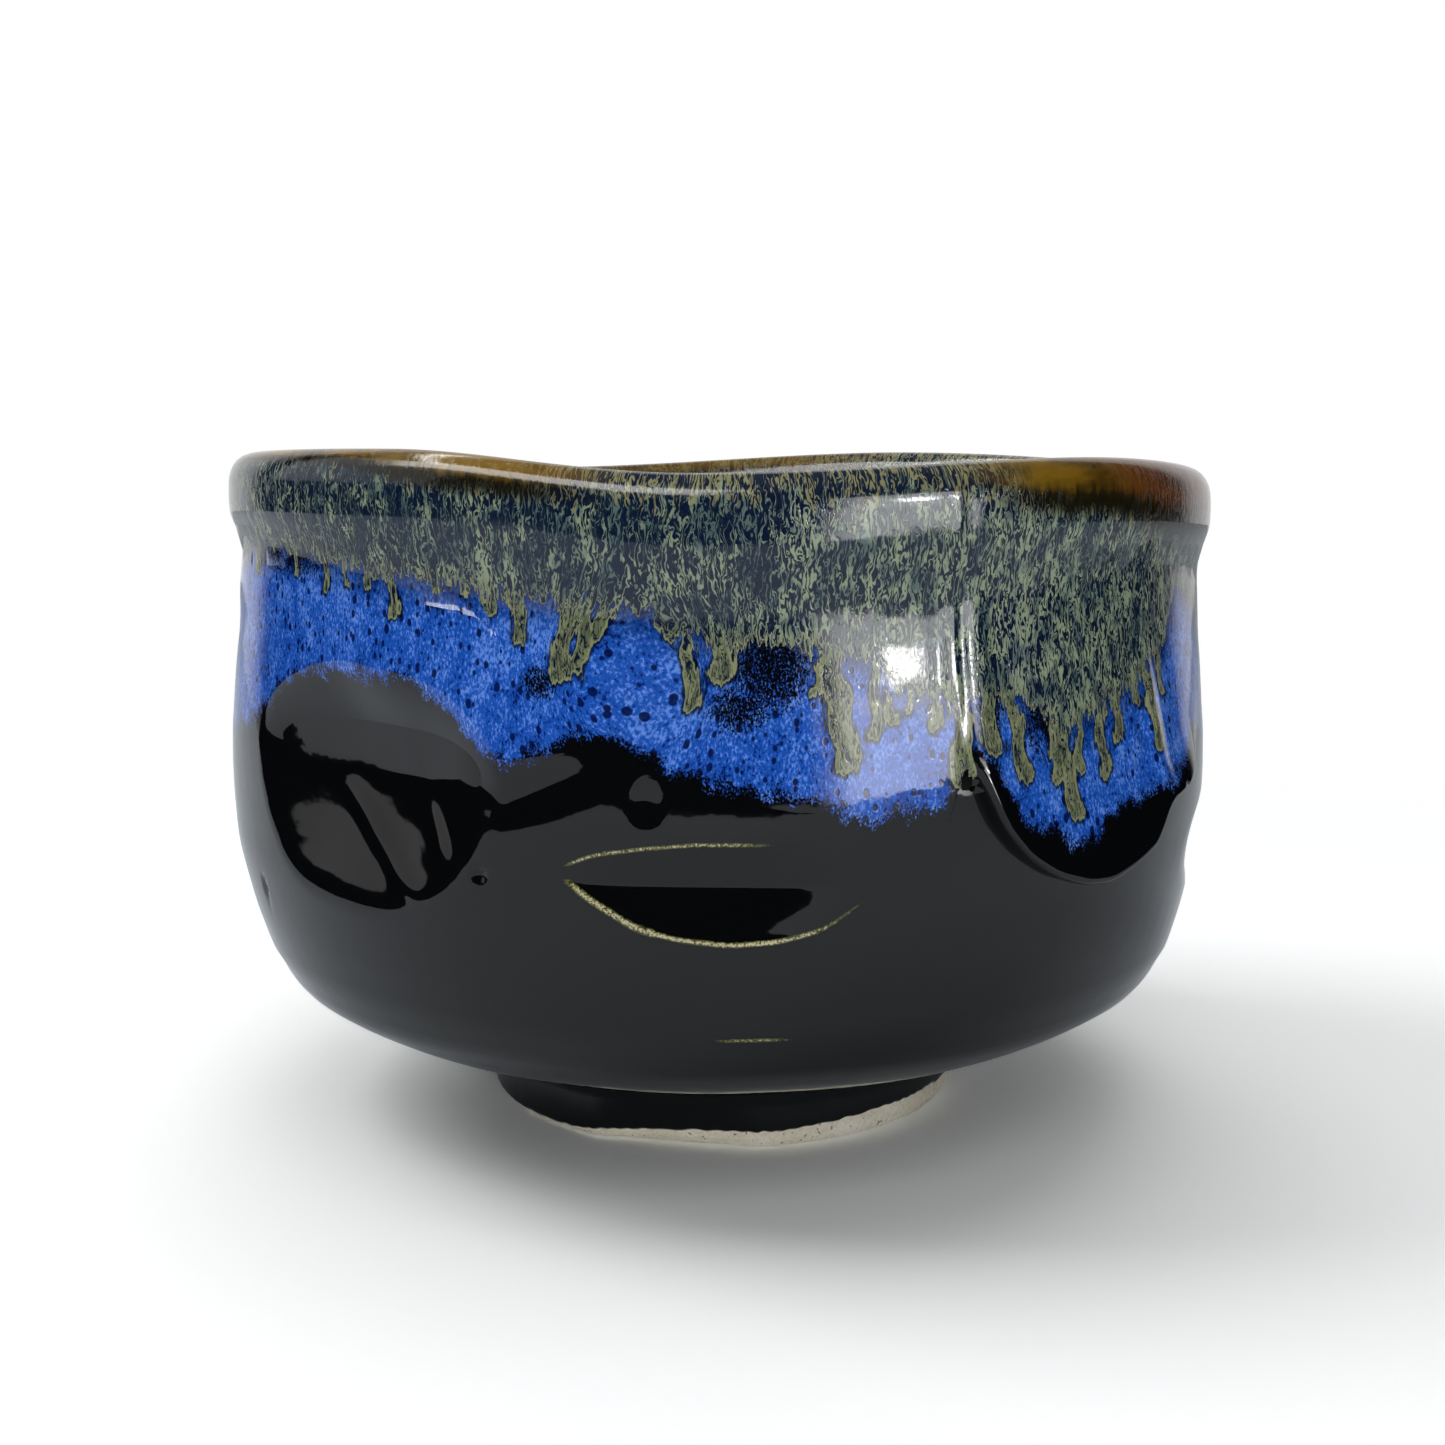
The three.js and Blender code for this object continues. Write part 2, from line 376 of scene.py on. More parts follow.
def spline(points):
    """Catmull-Rom line through the points: run along it, and [radius, height] there."""
    p = np.array(points, float)
    spans = len(p) - 1
    t = np.linspace(0, spans, spans * SAMPLES_PER_SPAN + 1)
    i = np.minimum(t.astype(int), spans - 1)
    w = (t - i)[:, None]
    before, here = p[np.maximum(i - 1, 0)], p[i]
    there, after = p[i + 1], p[np.minimum(i + 2, spans)]
    start, end = (there - before) / 2, (after - here) / 2
    line = (2 * here - 2 * there + start + end) * w**3
    line += (3 * there - 3 * here - 2 * start - end) * w**2
    line += start * w + here
    run = np.append(0, np.cumsum(np.linalg.norm(np.diff(line, axis=0), axis=1)))
    even = np.linspace(0, run[-1], len(line))
    return even, np.column_stack([np.interp(even, run, line[:, k]) for k in (0, 1)])


RUN, LINE = spline(SKIN)
ALONG = np.gradient(LINE, axis=0)
ALONG /= np.linalg.norm(ALONG, axis=1)[:, None]
LIP = int(np.argmax(LINE[:, 1]))
LIP_RUN = RUN[LIP]
END_RUN = RUN[-1]


def run_at(height, outside=True):
    """Run along the skin at which a height is met, on the outside or on the inside."""
    if outside:
        return np.interp(height, LINE[: LIP + 1, 1], RUN[: LIP + 1])
    return np.interp(height, LINE[LIP:, 1][::-1], RUN[LIP:][::-1])


def height_at(run):
    return np.interp(run, RUN, LINE[:, 1])


# ---------------------------------------------------------------- shape of the wall


def oval(angle, height, centre, half):
    """1 in the middle of an oval patch, 0 at its edge and outside."""
    across = turn_from(angle, centre[0]) / half[0]
    up = (height - centre[1]) / half[1]
    return np.clip(1 - across**2 - up**2, 0, 1)


def ridge(angle, height, start, lean, half_width):
    """A straight ridge through start = (angle, height), leaning down to the right, degrees."""
    across = np.radians(turn_from(angle, start[0])) * FLOW_RADIUS
    off = across * math.sin(math.radians(lean)) + (height - start[1]) * math.cos(math.radians(lean))
    return np.exp(-((off / half_width) ** 2))


def thumb_dent(angle, height):
    """A thumb's dent: soft above, with a crisp lower edge and two low ridges inside."""
    across = turn_from(angle, 230.0) / 18.8
    deepest = 48.5 + 0.2 * np.sin(np.radians(angle * 24 + 40))
    up = height - deepest
    up = np.where(up > 0, up / 9.6, up / 16.6)
    reach = np.clip(1 - np.abs(across) ** 2.4 - np.abs(up) ** 1.8, 0, 1)
    below = 1.43 * reach**2 / (reach + 0.43)
    share = smoothstep(up, -0.3, 0.5)
    depth = 4.7 * (below + (reach**1.6 - below) * share)
    lower = smoothstep(-up, 0.12, 0.4) * smoothstep(reach, 0.08, 0.45)
    first = ridge(angle, height, (234.4, 38.0), 37, 1.2)
    second = ridge(angle, height, (240.6, 41.2), 57, 1.0)
    return depth - lower * (0.28 * first + 0.24 * second)


def crescent(angle, height):
    """A carved crescent: a ledge that leans in, down to a crease, and out to the arc below."""
    top = line_at(CRESCENT_TOP, angle)
    foot = line_at(CRESCENT_FOOT, angle)
    crease = np.clip(CREASE_HEIGHT, foot + 0.05, top - 0.05)
    deepest = 1.6 * np.clip(1 - (turn_from(angle, 268.3) / 13.4) ** 2, 0, 1) ** 0.9
    ledge = np.clip((top - height) / (top - crease), 0, 1)
    bowl = np.clip((height - foot) / (crease - foot), 0, 1) ** 0.8
    inside = (height > foot) & (height < top)
    return np.where(inside, deepest * np.minimum(ledge, bowl), 0.0)


def dents(angle, height):
    """How far the hand-made hollows push the wall in."""
    depth = thumb_dent(angle, height) + crescent(angle, height)
    for deep, middle, half, power in SMALL_HOLLOWS + LARGE_HOLLOWS:
        depth += deep * oval(angle, height, middle, half) ** power
    valley = (height - 46.0 - 0.42 * np.abs(turn_from(angle, 248.8))) / 2.3
    return depth + 0.5 * np.exp(-(valley**2)) * oval(angle, height, (251.0, 47.0), (8.0, 9.0))


def turning_marks(angle, height):
    """Shallow rings left by the wheel, and the wall's slight unevenness."""
    low = smoothstep(height, 12, 16) * (1 - smoothstep(height, 30, 36))
    rings = sum(rise * np.exp(-(((height - at) / half) ** 2)) for at, rise, half in WHEEL_RINGS)
    turn = np.radians(angle)
    sway = np.sin(3 * turn + 0.11 * height) + 0.6 * np.sin(5 * turn - 0.17 * height + 1.3)
    sway += 0.5 * np.sin(9 * turn + 0.23 * height + 0.4)
    lean = 0.14 * np.cos(turn - math.radians(192)) - 0.62 * np.maximum(np.sin(turn), 0) ** 2
    lean = lean * smoothstep(height, 20, 34) * (1 - smoothstep(height, 50, 62))
    lean = lean - 0.3 * np.maximum(np.sin(turn), 0) ** 4 * smoothstep(height, 60, 70)
    return low * rings + 0.07 * sway + lean


def skin_points(run, angle, lift):
    """Points at a lift above the black glaze's face; the arrays share one shape."""
    height = height_at(run)
    outside = run < LIP_RUN
    up_neck = np.clip((height - NECK_LOW) / (NECK_HIGH - NECK_LOW), 0, 1)
    bend = wave_at(NECK_WAVE, angle) * np.sin(math.pi * up_neck) ** 2
    bent = np.where(outside, run_at(height - bend), run)
    radius = np.interp(np.where(bend == 0, run, bent), RUN, LINE[:, 0])
    along_r = np.interp(run, RUN, ALONG[:, 0])
    along_z = np.interp(run, RUN, ALONG[:, 1])
    fade = smoothstep(height, 9.5, 14)
    radius = radius + along_z * lift - np.where(outside, 1.0, 0.5) * dents(angle, height)
    radius = radius + np.where(outside, 1.0, 0.6) * fade * turning_marks(angle, height)
    radius = np.maximum(radius, 0.02)
    rise = wave_at(RIM_WAVE, angle) * smoothstep(height, WAVE_FOOT, 77.8)
    return place(radius, angle, height - along_r * lift + rise)


def place(radius, angle, height, shift=0.0):
    """Points from radius, angle and height, in millimetres in the CAD frame."""
    turn = np.radians(angle)
    points = np.stack(
        [radius * np.cos(turn) + shift, radius * np.sin(turn), height + 0 * turn], axis=-1
    )
    return points + AXIS


# ---------------------------------------------------------------- where each glaze lies


def random_drips():
    """Drips round the sides and the back, where the front's list says nothing."""
    draw = np.random.default_rng(7)
    drips = []
    angle = 348.0
    while angle < 360 + 208:
        width = draw.uniform(1.0, 2.6)
        fall = draw.uniform(2.5, 6.0) + draw.uniform(0, 9.0) * (draw.random() < 0.35)
        root = float(wave_at(ASH_BAND, np.array(angle)))
        drips.append([angle % 360, root - fall, width, angle % 360])
        angle += width * 0.9 + draw.uniform(0.6, 4.2)
    return drips


ALL_DRIPS = DRIPS + random_drips()


def smooth_max(a, b, blend):
    h = np.clip(0.5 + 0.5 * (a - b) / blend, 0, 1)
    return b + (a - b) * h + blend * h * (1 - h)


def ash_reach(angle, height):
    """Signed distance into the ash glaze: its band and its drips."""
    reach = height - wave_at(ASH_BAND, angle)
    for tip_angle, tip, width, root_angle in ALL_DRIPS:
        near = np.abs(turn_from(angle, tip_angle)) < 6
        if not near.any():
            continue
        root = float(wave_at(ASH_BAND, np.array(root_angle))) + 2.0
        share = np.clip((root - height[near]) / (root - tip - width / 2), 0, 1)
        middle = root_angle + turn_from(tip_angle, root_angle) * share
        wobble = 0.25 * np.sin(height[near] * 1.3 + tip_angle)
        across = np.radians(turn_from(angle[near], middle)) * FLOW_RADIUS + wobble
        below = np.minimum(height[near] - tip - width / 2, 0)
        girth = width / 2 * (0.72 + 0.28 * smoothstep(share, 0.75, 1.0))
        girth = girth + 0.5 * (1 - smoothstep(share, 0.0, 0.3))
        distance = girth - np.hypot(across, below)
        reach[near] = smooth_max(reach[near], distance, 0.7)
    dome = np.hypot(
        np.radians(turn_from(angle, DOME["angle"])) * FLOW_RADIUS,
        np.where(height > DOME["height"], 1.0, 0.25) * (height - DOME["height"]),
    )
    inside_dome = DOME["radius"] - 1.2 - dome
    return np.minimum(reach, -inside_dome)


def flow_field(angle, height):
    """Where the streaks of flow run: straight down, but parted round the dome."""
    across = np.radians(turn_from(angle, DOME["angle"])) * FLOW_RADIUS
    up = height - DOME["height"] - 1.0
    distance = np.maximum(np.hypot(across, up), DOME["radius"])
    near = 1 - smoothstep(distance, DOME["radius"] * 1.1, DOME["radius"] * 2.2)
    push = 0.42 * near * (DOME["radius"] / distance) ** 2
    turned = np.radians(angle) - across * push / FLOW_RADIUS
    return np.stack(
        [FLOW_RADIUS * np.cos(turned), FLOW_RADIUS * np.sin(turned), height + 0 * turned],
        axis=-1,
    )


def edge_of_blue_piece(angle):
    """Height of the blue coat's own edge: the thick roll's, or a thin hem below the blue."""
    hem = wave_at(BLUE_EDGE, angle) - 2.2
    roll = np.minimum(line_at(ROLL_EDGE, angle), hem + 2.0)
    turned = angle % 360
    share = smoothstep(turned, 290, 295) * (1 - smoothstep(turned, 334, 342))
    return hem + (roll - hem) * share


def blue_lift(angle, height):
    """Thickness of the blue coat over the black face; its hem starts just under that face."""
    edge = edge_of_blue_piece(angle)
    slope = np.gradient(edge, axis=-1) / (math.radians(360 / COLUMNS) * FLOW_RADIUS)
    above = np.maximum(height - edge, 0) / np.sqrt(1 + np.clip(slope, -4, 4) ** 2)
    thin = HEM + 0.05 * smoothstep(above, 0, 4) + 0.2 * smoothstep(above, 2, 14)
    lip = np.sqrt(np.clip(1 - (1 - np.minimum(above / 0.8, 1)) ** 2, 0, 1))
    swell = ROLL_THICKNESS * np.exp(-above / 8.5) * (1 - smoothstep(above, 5, 14))
    thick = HEM + lip * (0.25 + swell)
    high = smoothstep(above, 0.5, 6)
    turned = angle % 360
    start = smoothstep(turned, 291.5 - 6 * high, 297 + 10 * high)
    weight = start * (1 - smoothstep(turned, 326 - 14 * high, 338 + 6 * high))
    return thin * (1 - weight) + thick * weight


# ---------------------------------------------------------------- meshes


def make_piece(name, points, faces, fields, material):
    """An object from points in millimetres; fields are per-point numbers or vectors."""
    mesh = bpy.data.meshes.new(name)
    mesh.from_pydata((points * MM).tolist(), [], faces)
    for field, values in fields.items():
        kind = "FLOAT" if values.ndim == 1 else "FLOAT_VECTOR"
        key = "value" if values.ndim == 1 else "vector"
        attribute = mesh.attributes.new(field, kind, "POINT")
        attribute.data.foreach_set(key, values.astype(np.float32).ravel())
    mesh.materials.append(material)
    mesh.polygons.foreach_set("use_smooth", [True] * len(mesh.polygons))
    mesh.update()
    piece = bpy.data.objects.new(name, mesh)
    bpy.context.scene.collection.objects.link(piece)
    return piece


def ring_faces(rows, columns):
    """Quads of a closed band of rows round the bowl, seen from outside as rows go up."""
    row, column = np.meshgrid(np.arange(rows - 1), np.arange(columns), indexing="ij")
    beside = (column + 1) % columns
    corners = [
        row * columns + column,
        row * columns + beside,
        (row + 1) * columns + beside,
        (row + 1) * columns + column,
    ]
    return np.stack(corners, axis=-1).reshape(-1, 4)


def shell(name, rows_of_points, rows_of_fields, material, closed=True, cap=False):
    """A solid of revolution from rows of points: closed on itself, or capped at its ends."""
    rows, columns = rows_of_points.shape[:2]
    faces = ring_faces(rows, columns)
    if closed:
        last = (rows - 1) * columns
        column = np.arange(columns)
        beside = (column + 1) % columns
        join = np.stack([last + column, last + beside, beside, column], axis=-1)
        faces = np.concatenate([faces, join])
    faces = faces.tolist()
    if cap:
        faces.append(list(range(columns))[::-1])
        faces.append(list(range((rows - 1) * columns, rows * columns)))
    points = rows_of_points.reshape(-1, 3)
    fields = {
        field: values.reshape(-1, *values.shape[2:])
        for field, values in rows_of_fields.items()
    }
    return make_piece(name, points, faces, fields, material)


def glaze_fields(run, angle):
    """What the glaze material needs to know at each point."""
    height = height_at(run)
    outside = run < LIP_RUN
    from_lip = run - LIP_RUN
    inner_blue = wave_at(BLUE_EDGE, (angle + BLUE_TURN) % 360) - 4.0
    blue = height - np.where(outside, wave_at(BLUE_EDGE, angle), inner_blue)
    inner_ash = ash_reach((angle + ASH_TURN) % 360, height + ASH_DEEPER)
    ash = np.where(outside, ash_reach(angle, height), inner_ash)
    flow = flow_field(angle, height)
    flow[..., 2] = np.where(outside, flow[..., 2], 2 * height_at(LIP_RUN) - height)
    narrower = np.interp(run, RUN, LINE[:, 0]) / FLOW_RADIUS - 1
    flow[..., :2] *= (1 + narrower * smoothstep(from_lip, 0, 12))[..., None]
    return {
        "flow": flow,
        "ash": ash,
        "blue": blue,
        "lip": from_lip / wave_at(LIP_BAND, angle),
        "fall": wave_at(ASH_BAND, angle) - height,
        "brown": brown_lip(angle),
        "rust": smoothstep(angle, 303, 322) * (1 - smoothstep(angle, 345, 356)),
        "rich": wave_at(ASH_RICHNESS, angle),
        "dark": dark_patches(angle, height) * outside,
        **carved_edges(angle, height, outside),
    }


def brown_lip(angle):
    """How brown and bare the lip is: the ash is thin at both sides and a little at the back."""
    right = smoothstep(angle, 292, 304) * (1 - smoothstep(angle, 350, 358))
    left = smoothstep(angle, 190, 205) * (1 - smoothstep(angle, 250, 262))
    back = smoothstep(angle, 60, 80) * (1 - smoothstep(angle, 120, 140))
    return np.maximum(right, np.maximum(0.95 * left, 0.6 * back))


def dark_patches(angle, height):
    """Where the black shows through the blue."""
    patches = [oval(angle, height, middle, half) ** power for middle, half, power in DARK_PATCHES]
    return np.maximum.reduce(patches)


def carved_edges(angle, height, outside):
    """Distance from the crescent's edges, where cream clay shows, and how far it shows."""
    start = smoothstep(angle, 254.6, 256.5) * outside
    steep = np.where(angle < 264, 0.62, 0.9)
    return {
        "top_edge": height - line_at(CRESCENT_TOP, angle),
        "top_share": start * (1 - smoothstep(angle, 271, 277)),
        "foot_edge": (height - line_at(CRESCENT_FOOT, angle)) * steep,
        "foot_share": start * (1 - smoothstep(angle, 275, 287)),
        "low_edge": height - LOW_BREAK[1],
        "low_share": 0.6 * oval(angle, height, LOW_BREAK, (5, 2)) * outside,
    }


# ---------------------------------------------------------------- materials


def srgb(red, green, blue):
    """A colour given as screen values from 0 to 255."""
    screen = np.array([red, green, blue]) / 255
    linear = np.where(screen <= 0.04045, screen / 12.92, ((screen + 0.055) / 1.055) ** 2.4)
    return (*[float(c) for c in linear], 1.0)


class Nodes:
    """Short names for making the nodes of a material, a light or the world."""

    def __init__(self, owner):
        owner.use_nodes = True
        self.tree = owner.node_tree

    def feed(self, socket, value):
        if isinstance(value, bpy.types.NodeSocket):
            self.tree.links.new(value, socket)
        elif value is not None:
            socket.default_value = value

    def node(self, kind, inputs, **settings):
        made = self.tree.nodes.new(kind)
        for key, value in settings.items():
            setattr(made, key, value)
        for key, value in inputs.items():
            self.feed(made.inputs[key], value)
        return made

    def field(self, name):
        return self.node("ShaderNodeAttribute", {}, attribute_name=name)

    def number(self, name):
        return self.field(name).outputs["Fac"]

    def vector(self, name):
        return self.field(name).outputs["Vector"]

    def math(self, operation, a, b=None, c=None):
        inputs = {0: a, 1: b, 2: c}
        inputs = {key: value for key, value in inputs.items() if value is not None}
        return self.node("ShaderNodeMath", inputs, operation=operation).outputs[0]

    def step(self, value, low, high, start=0.0, end=1.0):
        inputs = {0: value, 1: low, 2: high, 3: start, 4: end}
        made = self.node("ShaderNodeMapRange", inputs, interpolation_type="SMOOTHSTEP")
        return made.outputs[0]

    def scaled(self, vector, scale):
        made = self.node("ShaderNodeVectorMath", {0: vector, 1: scale}, operation="MULTIPLY")
        return made.outputs[0]

    def moved(self, vector, by):
        made = self.node("ShaderNodeVectorMath", {0: vector, 1: by}, operation="ADD")
        return made.outputs[0]

    def noise(self, vector, scale, detail=2.0, roughness=0.5, distortion=0.0, colour=False):
        inputs = {
            "Vector": vector,
            "Scale": scale,
            "Detail": detail,
            "Roughness": roughness,
            "Distortion": distortion,
        }
        made = self.node("ShaderNodeTexNoise", inputs)
        return made.outputs["Color" if colour else "Fac"]

    def mix(self, share, a, b):
        made = self.node("ShaderNodeMix", {0: share, 6: a, 7: b}, data_type="RGBA")
        return made.outputs[2]

    def ramp(self, value, *stops):
        """A colour ramp from (place, colour) stops."""
        made = self.node("ShaderNodeValToRGB", {0: value})
        elements = made.color_ramp.elements
        while len(elements) < len(stops):
            elements.new(0.5)
        for element, (at, colour) in zip(elements, stops):
            element.position = at
            element.color = colour
        return made.outputs[0]

    def bump(self, height, distance, strength=1.0, normal=None):
        inputs = {"Height": height, "Distance": distance, "Strength": strength}
        inputs["Normal"] = normal
        return self.node("ShaderNodeBump", inputs).outputs[0]


class Recipe(Nodes):
    """A material's nodes."""

    def __init__(self, name):
        self.material = bpy.data.materials.new(name)
        super().__init__(self.material)
        self.tree.nodes.clear()
        self.output = self.tree.nodes.new("ShaderNodeOutputMaterial")

    def finish(self, **inputs):
        shader = self.node("ShaderNodeBsdfPrincipled", {})
        for key, value in inputs.items():
            self.feed(shader.inputs[key.replace("_", " ")], value)
        self.tree.links.new(shader.outputs[0], self.output.inputs[0])
        return self.material


NAVY_BLACK = srgb(5, 8, 18)
BLACK = srgb(9, 10, 12)
NAVY = srgb(12, 28, 96)
SPOT_NAVY = srgb(8, 22, 78)
COBALT = srgb(32, 91, 196)
PERIWINKLE = srgb(106, 152, 240)
INK = srgb(14, 26, 52)
SAGE_DARK = srgb(30, 48, 62)
SAGE = srgb(92, 112, 108)
SAGE_PALE = srgb(152, 166, 136)
KHAKI = srgb(150, 154, 112)
KHAKI_DARK = srgb(96, 104, 74)
GOLD = srgb(136, 104, 26)
OLIVE_BLACK = srgb(28, 25, 12)
RUST = srgb(100, 54, 20)
LIP_KHAKI = srgb(148, 140, 92)
CREAM = srgb(250, 243, 226)
BREAK = srgb(204, 196, 158)
BREAK_EDGE = srgb(110, 108, 58)


def blue_over_black(make, flow, blue, dark):
    """The blue glaze: mottling and pin-spots, feathering into the black below."""
    fine = make.noise(make.scaled(flow, (1.0, 1.0, 0.55)), 4.2, 2.0, 0.6, 0.3)
    broad = make.noise(make.scaled(flow, (1.0, 1.0, 0.7)), 0.22, 2.0, 0.5)
    patch = make.noise(make.scaled(flow, (1.0, 1.0, 0.6)), 0.6, 2.0, 0.5)
    tone = make.math("MULTIPLY_ADD", make.math("SUBTRACT", patch, 0.5), 0.45, fine)
    tone = make.math("MULTIPLY_ADD", make.math("SUBTRACT", broad, 0.5), 0.35, tone)
    tone = make.math("MULTIPLY_ADD", make.step(blue, 0.0, 8.0), 0.03, tone)
    colour = make.ramp(tone, (0.30, NAVY), (0.43, COBALT), (0.54, COBALT), (0.69, PERIWINKLE))

    cells = make.node(
        "ShaderNodeTexVoronoi",
        {"Vector": make.scaled(flow, (1.0, 1.0, 0.68)), "Scale": 1.05},
        feature="F1",
    )
    presence = make.node("ShaderNodeSeparateColor", {0: cells.outputs["Color"]}).outputs[0]
    size = make.math("MULTIPLY_ADD", presence, 0.30, 0.12)
    spot = make.step(make.math("SUBTRACT", cells.outputs["Distance"], size), -0.09, 0.01, 1.0, 0.0)
    colour = make.mix(make.math("MULTIPLY", spot, 0.95), colour, SPOT_NAVY)

    ragged = make.math("MULTIPLY", make.math("SUBTRACT", patch, 0.5), 4.0)
    cover = make.step(make.math("ADD", blue, ragged), -0.3, 2.9)
    cover = make.math("SUBTRACT", cover, make.math("MULTIPLY", dark, 0.9))
    fleck = make.noise(make.scaled(flow, (1.0, 1.0, 0.7)), 5.2, 2.0, 0.6)
    flecks = make.math("MULTIPLY_ADD", make.math("SUBTRACT", cover, 1.0), 0.42, fleck)
    shows = make.step(flecks, 0.16, 0.34)
    shows = make.math("MULTIPLY", shows, make.step(cover, 0.0, 0.12))
    relief = make.math("MULTIPLY", make.math("SUBTRACT", fine, spot), shows)
    return make.mix(shows, BLACK, colour), relief


def ash_colours(make, flow, fall, rich):
    """Curling strokes of sage ash over ink, turning to khaki with dark veins in the drips."""
    drift = make.noise(make.scaled(flow, (1.0, 1.0, 0.5)), 0.9, 2.0, 0.5, colour=True)
    drift = make.scaled(make.moved(drift, (-0.5, -0.5, -0.5)), (1.6, 1.6, 2.4))
    warped = make.moved(flow, drift)
    worm = make.noise(make.scaled(warped, (1.0, 1.0, 0.17)), 1.7, 2.0, 0.5, 0.4)
    swirl = make.math("PINGPONG", make.math("MULTIPLY", worm, 5.0), 0.5)
    density = make.noise(make.scaled(flow, (1.0, 1.0, 0.7)), 0.45, 2.0, 0.5)
    drip = make.step(fall, -2.5, 2.0)
    shift = make.math("MULTIPLY", make.math("SUBTRACT", density, 0.5), 0.30)
    shift = make.math("MULTIPLY_ADD", make.math("SUBTRACT", rich, 0.4), 0.14, shift)
    fur = make.noise(make.scaled(flow, (1.0, 1.0, 0.09)), 0.8, 2.0, 0.5)
    shift = make.math("MULTIPLY_ADD", make.math("SUBTRACT", fur, 0.5), 0.40, shift)
    shift = make.math("MULTIPLY_ADD", drip, 0.20, shift)
    stroke = make.step(make.math("ADD", swirl, shift), 0.27, 0.43)
    ground = make.mix(make.step(swirl, 0.05, 0.3, 0.0, 0.7), INK, SAGE_DARK)
    bright = make.math("MULTIPLY_ADD", rich, 0.1, density)
    pale = make.mix(make.step(bright, 0.42, 0.68), SAGE, SAGE_PALE)
    khaki = make.mix(make.step(worm, 0.42, 0.60), KHAKI_DARK, KHAKI)
    pale = make.mix(make.math("MULTIPLY", drip, 0.9), pale, khaki)
    return make.mix(stroke, ground, pale), stroke


def nearness(make, edge):
    """1 on one of the crescent's edges, falling to 0 a little way off."""
    away = make.math("ABSOLUTE", make.number(edge + "_edge"))
    return make.math("MULTIPLY", make.step(away, 0.0, 0.40, 1.0, 0.0), make.number(edge + "_share"))


def glaze(name):
    """All the bowl's glazes in one recipe, so that the coats meet without a seam."""
    make = Recipe(name)
    flow, ash, blue = make.vector("flow"), make.number("ash"), make.number("blue")
    lip, fall, dark = make.number("lip"), make.number("fall"), make.number("dark")
    brown, rust, rich = make.number("brown"), make.number("rust"), make.number("rich")

    colour, blue_relief = blue_over_black(make, flow, blue, dark)
    band, stroke = ash_colours(make, flow, fall, rich)

    wisp = make.noise(make.scaled(flow, (1.0, 1.0, 0.2)), 1.9, 2.0, 0.6)
    depth = make.step(fall, -1.0, 3.0, 6.5, 1.5)
    edge = make.math("MULTIPLY_ADD", make.math("SUBTRACT", wisp, 0.5), depth, ash)
    shade = make.step(fall, -1.0, 4.5, 0.8, 0.0)
    outline = make.math("MAXIMUM", make.step(edge, -0.5, -0.05, 0.0, 0.9), shade)
    colour = make.mix(outline, colour, NAVY_BLACK)
    ring = make.math("MULTIPLY_ADD", make.math("SUBTRACT", wisp, 0.5), 1.6, edge)
    ring = make.math("PINGPONG", make.math("MULTIPLY", ring, 1.6), 0.5)
    ring = make.math("MULTIPLY", make.step(ring, 0.04, 0.15, 0.85, 0.0), make.step(fall, -1.5, 1.0))
    band = make.mix(ring, band, INK)
    rim_of_drip = make.mix(make.step(edge, 0.12, 0.35), KHAKI, band)
    inside = make.step(edge, 0.0, 0.12)
    colour = make.mix(inside, colour, rim_of_drip)

    sweep = make.noise(make.scaled(flow, (0.12, 0.12, 0.5)), 1.0, 3.0, 0.6)
    hang = make.noise(make.scaled(flow, (1.0, 1.0, 0.1)), 0.9, 2.0, 0.6)
    hang = make.math("SUBTRACT", hang, 0.5)
    from_lip = make.math("ABSOLUTE", make.math("MULTIPLY_ADD", hang, 0.5, lip))
    runs = make.math("MULTIPLY_ADD", hang, 4.0, from_lip)
    runs = make.math("MULTIPLY", make.step(runs, 0.9, 1.1, 0.8, 0.0), stroke)
    colour = make.mix(runs, colour, LIP_KHAKI)
    lip_share = make.math("MULTIPLY", make.step(from_lip, 1.05, 1.5, 1.0, 0.0), brown)
    warm = make.mix(rust, GOLD, RUST)
    warm = make.mix(make.step(sweep, 0.22, 0.62, 0.25, 1.0), OLIVE_BLACK, warm)
    lip_colour = make.mix(make.step(from_lip, 0.6, 0.95), warm, OLIVE_BLACK)
    colour = make.mix(lip_share, colour, lip_colour)

    crumbs = make.noise(flow, 4.5, 3.0, 0.7)
    crumbs = make.math("MULTIPLY_ADD", make.math("SUBTRACT", crumbs, 0.5), 5.0, 1.0)
    near = make.math("MULTIPLY", nearness(make, "top"), 0.7)
    near = make.math("MAXIMUM", near, nearness(make, "foot"))
    near = make.math("MAXIMUM", near, nearness(make, "low"))
    bare = make.math("MULTIPLY", near, crumbs)
    colour = make.mix(make.step(bare, 0.15, 0.5, 0.0, 0.8), colour, BREAK_EDGE)
    colour = make.mix(make.step(bare, 0.65, 0.95), colour, BREAK)

    relief = make.math("MULTIPLY", inside, stroke)
    normal = make.bump(relief, 0.00003, 0.25)
    normal = make.bump(blue_relief, 0.00002, 0.3, normal)
    skin = make.noise(flow, 0.35, 2.0, 0.5)
    normal = make.bump(skin, 0.0002, 0.12, normal)
    roughness = make.math("MULTIPLY_ADD", inside, 0.025, 0.045)
    return make.finish(Base_Color=colour, Roughness=roughness, Normal=normal, IOR=1.5)


